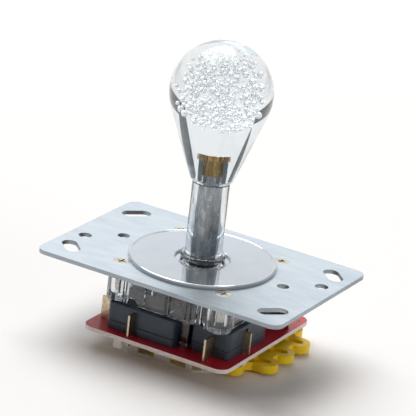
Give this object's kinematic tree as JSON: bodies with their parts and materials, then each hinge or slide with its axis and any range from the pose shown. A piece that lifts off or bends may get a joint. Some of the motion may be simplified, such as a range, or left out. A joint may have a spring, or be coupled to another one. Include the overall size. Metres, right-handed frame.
{
  "type": "arcade joystick lever",
  "caption": "Arcade joystick lever: clear bat-top knob on a sleeved shaft through a slotted steel plate, above a clear housing, microswitches on a red board and a yellow gate selector.",
  "frame": {"origin": "on the plate's top face, on the lever's axis", "axes": "+Z along the upright lever towards the knob, +X along the plate's long side, on the selector tab's side"},
  "size_m": [0.1, 0.0682, 0.1154],
  "materials": {
    "zinc_plate": "zinc plated, satin",
    "nickel_steel": "nickel plated",
    "polished_disc": "bright plated, polished",
    "clear_sleeve": "clear, polished",
    "clear_acrylic": "clear acrylic, polished",
    "brass": "turned",
    "plated_steel": "zinc plated, mottled",
    "white_nylon": "moulded",
    "spring_steel": "bright",
    "black_nylon": "moulded",
    "clear_housing": "clear, moulded",
    "red_board": "red solder mask",
    "switch_case": "moulded",
    "plunger": "moulded",
    "tinned_brass": "tinned",
    "yellow_plastic": "moulded"
  },
  "bodies": {
    "base": {"mounting_plate": "zinc_plate", "plate_screws": "nickel_steel", "dust_disc": "polished_disc", "housing": "clear_housing", "spring_washer": "nickel_steel", "circuit_board": "red_board", "switch_case_front": "switch_case", "switch_case_right": "switch_case", "switch_case_back": "switch_case", "switch_case_left": "switch_case", "switch_cover_front": "switch_case", "switch_cover_right": "switch_case", "switch_cover_back": "switch_case", "switch_cover_left": "switch_case", "common_terminals": "tinned_brass", "contact_terminals": "tinned_brass", "switch_blades": "spring_steel", "connector_header": "white_nylon", "header_pins": "tinned_brass", "solder_joints": "nickel_steel", "gate_frame": "clear_housing"},
    "spring": {"return_spring": "spring_steel"},
    "lever": {"lever_shaft": "plated_steel", "shaft_sleeve": "clear_sleeve", "knob": "clear_acrylic", "knob_insert": "brass", "pivot_ball": "white_nylon", "actuator": "black_nylon", "retaining_clip": "spring_steel"},
    "plunger_front": {"plunger_front": "plunger"},
    "plunger_right": {"plunger_right": "plunger"},
    "plunger_back": {"plunger_back": "plunger"},
    "plunger_left": {"plunger_left": "plunger"},
    "selector": {"selector": "yellow_plastic"}
  },
  "joints": [
    {"name": "lever_fore_aft", "type": "hinge", "parent": "base", "child": "spring", "pos_m": [0, 0, -0.007], "axis": [1, 0, 0], "range_deg": [-6, 6], "stiffness_Nm_per_rad": 1.4, "deforming": ["return_spring"]},
    {"name": "lever_side_to_side", "type": "hinge", "parent": "spring", "child": "lever", "pos_m": [0, 0, -0.007], "axis": [0, 1, 0], "range_deg": [-6, 6], "stiffness_Nm_per_rad": 1.4, "deforming": ["return_spring"]},
    {"name": "plunger_front_press", "type": "slide", "parent": "base", "child": "plunger_front", "axis": [0, -1, 0], "range_m": [0, 0.0008], "stiffness_N_per_m": 700},
    {"name": "plunger_right_press", "type": "slide", "parent": "base", "child": "plunger_right", "axis": [1, 0, 0], "range_m": [0, 0.0008], "stiffness_N_per_m": 700},
    {"name": "plunger_back_press", "type": "slide", "parent": "base", "child": "plunger_back", "axis": [0, 1, 0], "range_m": [0, 0.0008], "stiffness_N_per_m": 700},
    {"name": "plunger_left_press", "type": "slide", "parent": "base", "child": "plunger_left", "axis": [-1, 0, 0], "range_m": [0, 0.0008], "stiffness_N_per_m": 700},
    {"name": "selector_turn", "type": "hinge", "parent": "base", "child": "selector", "pos_m": [0, 0, -0.03], "axis": [0, 0, 1], "range_deg": [-30.5, 14.5]}
  ]
}
